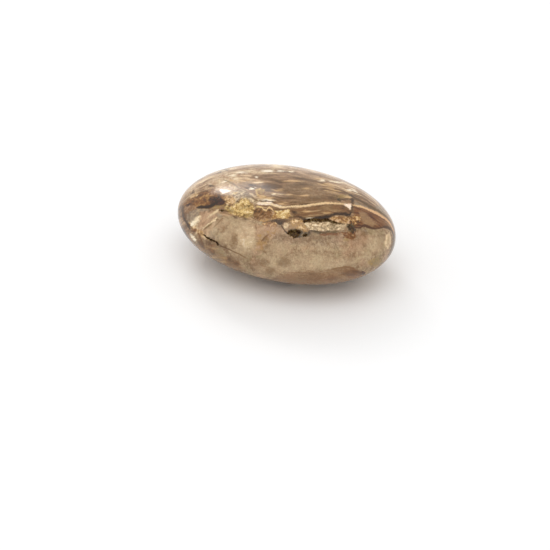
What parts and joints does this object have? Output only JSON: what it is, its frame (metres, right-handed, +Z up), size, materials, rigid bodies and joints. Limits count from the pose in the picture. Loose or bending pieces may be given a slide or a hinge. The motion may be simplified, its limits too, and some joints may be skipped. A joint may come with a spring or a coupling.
{
  "type": "ocean jasper palm stone",
  "caption": "Polished oval palm stone of banded brown and taupe jasper, with small drusy vugs in its front, to hold in the hand or set on a shelf.",
  "frame": {"origin": "centre of the base, on the surface that the stone lies on", "axes": "+X along the stone's length towards its slightly taller end, -Y towards the side with the vugs, +Z up"},
  "size_m": [0.068, 0.0468, 0.0272],
  "materials": {
    "polished_jasper": "polished, banded brown and taupe with cream, ochre and white markings"
  },
  "bodies": {
    "root": {"palm_stone": "polished_jasper"}
  },
  "joints": []
}
